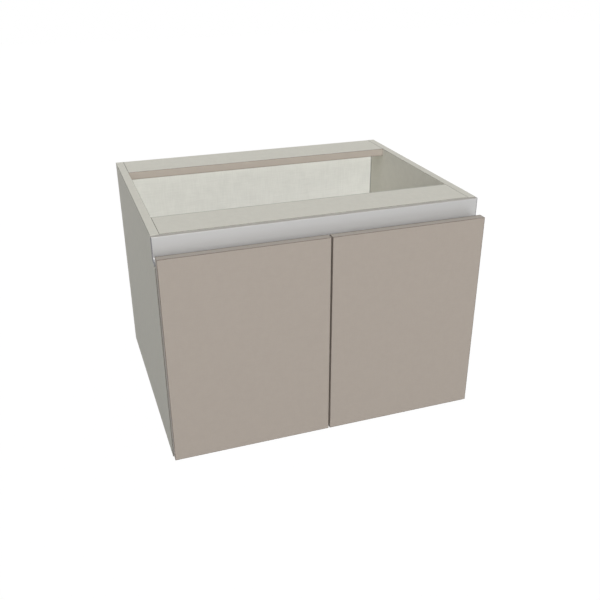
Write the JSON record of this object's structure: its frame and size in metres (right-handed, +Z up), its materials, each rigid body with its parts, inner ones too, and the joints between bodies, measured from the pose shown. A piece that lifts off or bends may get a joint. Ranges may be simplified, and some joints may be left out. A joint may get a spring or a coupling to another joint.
{
  "type": "sink base cabinet",
  "caption": "Open-topped sink base cabinet with a recessed aluminium grip channel and a pair of handleless hinged doors.",
  "frame": {"origin": "centre of the footprint, doors included, on the plane the cabinet stands on", "axes": "+Z up, front faces -Y, +X to the right seen from the front"},
  "size_m": [0.7, 0.5806, 0.495],
  "materials": {
    "carcass_board": "light grey melamine-faced board, fine matt texture",
    "carcass_edging": "plastic edging in the board colour",
    "back_board": "light grey melamine-faced board, faint linen texture",
    "front_board": "warm taupe melamine, matt",
    "front_edging": "taupe plastic edging",
    "aluminium_profile": "satin anodised",
    "grey_plastic": "grey moulded plastic",
    "nickel_plate": "satin nickel plate",
    "steel_link": "plain steel",
    "zinc_screw": "zinc plated",
    "clear_buffer": "clear soft plastic"
  },
  "bodies": {
    "carcass": {"side_panel_left": "carcass_board", "side_panel_right": "carcass_board", "side_panel_edging_left": "carcass_edging", "side_panel_edging_right": "carcass_edging", "bottom_panel": "carcass_board", "bottom_panel_edging": "carcass_edging", "front_rail": "carcass_board", "rear_rail": "carcass_board", "rear_rail_edging": "front_edging", "back_panel": "back_board", "grip_channel": "aluminium_profile", "grip_channel_end_cap_left": "grey_plastic", "channel_bracket_left": "nickel_plate", "channel_bracket_screw_left_1": "zinc_screw", "channel_bracket_screw_left_2": "zinc_screw", "grip_channel_end_cap_right": "grey_plastic", "channel_bracket_right": "nickel_plate", "channel_bracket_screw_right_1": "zinc_screw", "channel_bracket_screw_right_2": "zinc_screw", "hinge_arm_left_lower": "nickel_plate", "hinge_plate_left_lower": "nickel_plate", "hinge_arm_screw_left_lower": "zinc_screw", "hinge_plate_screw_left_lower_1": "zinc_screw", "hinge_plate_screw_left_lower_2": "zinc_screw", "hinge_arm_left_upper": "nickel_plate", "hinge_plate_left_upper": "nickel_plate", "hinge_arm_screw_left_upper": "zinc_screw", "hinge_plate_screw_left_upper_1": "zinc_screw", "hinge_plate_screw_left_upper_2": "zinc_screw", "hinge_arm_right_lower": "nickel_plate", "hinge_plate_right_lower": "nickel_plate", "hinge_arm_screw_right_lower": "zinc_screw", "hinge_plate_screw_right_lower_1": "zinc_screw", "hinge_plate_screw_right_lower_2": "zinc_screw", "hinge_arm_right_upper": "nickel_plate", "hinge_plate_right_upper": "nickel_plate", "hinge_arm_screw_right_upper": "zinc_screw", "hinge_plate_screw_right_upper_1": "zinc_screw", "hinge_plate_screw_right_upper_2": "zinc_screw"},
    "left_outer_links": {"hinge_outer_link_left_lower": "steel_link", "hinge_outer_link_left_upper": "steel_link"},
    "left_inner_links": {"hinge_inner_link_left_lower": "steel_link", "hinge_inner_link_left_upper": "steel_link"},
    "left_door": {"door_left": "front_board", "door_edging_left": "front_edging", "door_buffer_left_lower": "clear_buffer", "door_buffer_left_upper": "clear_buffer", "hinge_cup_left_lower": "nickel_plate", "hinge_cup_left_upper": "nickel_plate"},
    "right_outer_links": {"hinge_outer_link_right_lower": "steel_link", "hinge_outer_link_right_upper": "steel_link"},
    "right_inner_links": {"hinge_inner_link_right_lower": "steel_link", "hinge_inner_link_right_upper": "steel_link"},
    "right_door": {"door_right": "front_board", "door_edging_right": "front_edging", "door_buffer_right_lower": "clear_buffer", "door_buffer_right_upper": "clear_buffer", "hinge_cup_right_lower": "nickel_plate", "hinge_cup_right_upper": "nickel_plate"}
  },
  "joints": [
    {"name": "left_outer_link_pivot", "type": "hinge", "parent": "carcass", "child": "left_outer_links", "pos_m": [-0.3125, -0.27925, 0.2335], "axis": [0, 0, -1], "range_deg": [-43.3, 0]},
    {"name": "left_door_hinge", "type": "hinge", "parent": "left_outer_links", "child": "left_door", "pos_m": [-0.3342, -0.27705, 0.2335], "axis": [0, 0, -1], "range_deg": [0, 138.18]},
    {"name": "left_inner_link_pivot", "type": "hinge", "parent": "carcass", "child": "left_inner_links", "pos_m": [-0.3124, -0.27335, 0.2335], "axis": [0, 0, -1], "range_deg": [-54.1, 0]},
    {"name": "right_outer_link_pivot", "type": "hinge", "parent": "carcass", "child": "right_outer_links", "pos_m": [0.3125, -0.27925, 0.2335], "axis": [0, 0, 1], "range_deg": [-43.3, 0]},
    {"name": "right_door_hinge", "type": "hinge", "parent": "right_outer_links", "child": "right_door", "pos_m": [0.3342, -0.27705, 0.2335], "axis": [0, 0, 1], "range_deg": [0, 138.18]},
    {"name": "right_inner_link_pivot", "type": "hinge", "parent": "carcass", "child": "right_inner_links", "pos_m": [0.3124, -0.27335, 0.2335], "axis": [0, 0, 1], "range_deg": [-54.1, 0]}
  ],
  "couplings": [
    {"joint": "left_outer_link_pivot", "follows": "left_door_hinge", "ratio": -0.31253},
    {"joint": "left_inner_link_pivot", "follows": "left_door_hinge", "ratio": -0.39042},
    {"joint": "right_outer_link_pivot", "follows": "right_door_hinge", "ratio": -0.31253},
    {"joint": "right_inner_link_pivot", "follows": "right_door_hinge", "ratio": -0.39042}
  ]
}
